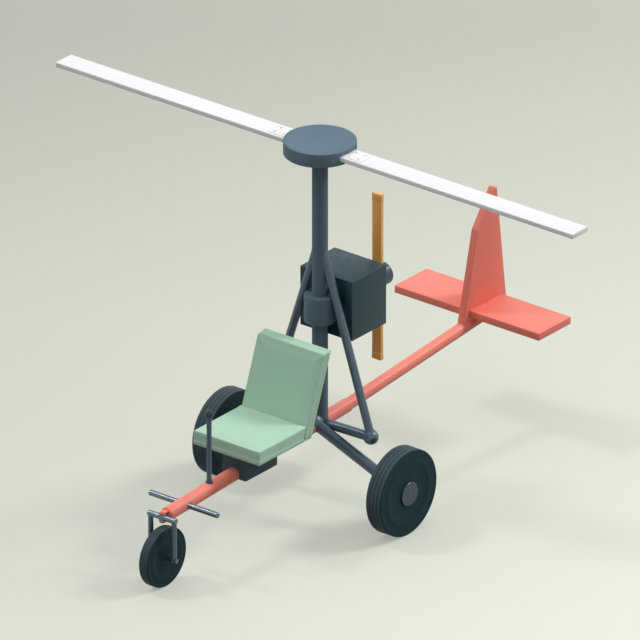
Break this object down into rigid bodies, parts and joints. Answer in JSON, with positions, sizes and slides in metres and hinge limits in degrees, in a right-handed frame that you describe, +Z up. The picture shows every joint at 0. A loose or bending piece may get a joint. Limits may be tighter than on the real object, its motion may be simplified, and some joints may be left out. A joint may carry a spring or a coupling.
{
  "type": "gyrocopter",
  "caption": "Open-frame single-seat gyrocopter: keel tube, mast with free rotor, rear engine and pusher propeller, padded seat, fin and tailplane, three-wheel gear with steered nose wheel.",
  "frame": {"origin": "on the ground, midway across and midway along the whole gyrocopter, nose tyre to tail", "axes": "+Z up, -Y towards the nose, +X to the pilot's left"},
  "size_m": [4.344, 3.84, 2.623],
  "materials": {
    "coral_tube": "satin",
    "coral_skin": "satin",
    "slate_paint": "satin",
    "engine_casing": "matte",
    "dark_steel": "satin",
    "dark_alloy": "satin",
    "bright_steel": "gloss",
    "tank_plastic": "satin",
    "seat_shell": "satin",
    "seat_fabric": "matte",
    "knob_plastic": "satin",
    "blade_skin": "satin",
    "propeller_wood": "gloss",
    "tyre_rubber": "matte"
  },
  "bodies": {
    "airframe": {"keel_tube": "coral_tube", "tail_boom": "coral_tube", "mast": "slate_paint", "engine_clamp": "dark_alloy", "rotor_spindle": "bright_steel", "engine": "engine_casing", "drive_housing": "dark_alloy", "left_mast_brace": "dark_steel", "right_mast_brace": "dark_steel", "left_brace_ball": "dark_steel", "right_brace_ball": "dark_steel", "left_cross_strut": "dark_steel", "right_cross_strut": "dark_steel", "gear_hub": "dark_steel", "left_gear_leg": "dark_steel", "right_gear_leg": "dark_steel", "left_stub_axle": "bright_steel", "right_stub_axle": "bright_steel", "seat_box": "tank_plastic", "seat_shell": "seat_shell", "seat_cushion": "seat_fabric", "back_cushion": "seat_fabric", "control_stick": "slate_paint", "stick_knob": "knob_plastic", "foot_bar": "bright_steel", "steering_head": "bright_steel", "fin": "coral_skin", "left_tailplane": "coral_skin", "right_tailplane": "coral_skin"},
    "rotor": {"rotor_hub": "dark_alloy", "left_rotor_blade": "blade_skin", "right_rotor_blade": "blade_skin"},
    "propeller": {"propeller": "propeller_wood", "propeller_hub": "dark_alloy"},
    "left_wheel": {"left_tyre": "tyre_rubber", "left_rim": "dark_alloy"},
    "right_wheel": {"right_tyre": "tyre_rubber", "right_rim": "dark_alloy"},
    "fork": {"fork_crown": "bright_steel", "left_fork_leg": "dark_steel", "right_fork_leg": "dark_steel", "nose_axle": "bright_steel"},
    "nose_wheel": {"nose_tyre": "tyre_rubber", "nose_rim": "dark_alloy"}
  },
  "joints": [
    {"name": "rotor_spin", "type": "hinge", "parent": "airframe", "child": "rotor", "pos_m": [0, -0.047, 2.575], "axis": [0, 0, 1], "continuous": true},
    {"name": "propeller_spin", "type": "hinge", "parent": "airframe", "child": "propeller", "pos_m": [0, 0.567, 1.408], "axis": [0, 1, 0], "continuous": true},
    {"name": "left_wheel_spin", "type": "hinge", "parent": "airframe", "child": "left_wheel", "pos_m": [0.734, -0.109, 0.302], "axis": [1, 0, 0], "continuous": true},
    {"name": "right_wheel_spin", "type": "hinge", "parent": "airframe", "child": "right_wheel", "pos_m": [-0.734, -0.109, 0.302], "axis": [1, 0, 0], "continuous": true},
    {"name": "nose_steer", "type": "hinge", "parent": "airframe", "child": "fork", "pos_m": [0, -1.712, 0.494], "axis": [0, 0, 1], "range_deg": [-25, 25]},
    {"name": "nose_wheel_spin", "type": "hinge", "parent": "fork", "child": "nose_wheel", "pos_m": [0, -1.712, 0.208], "axis": [1, 0, 0], "continuous": true}
  ]
}
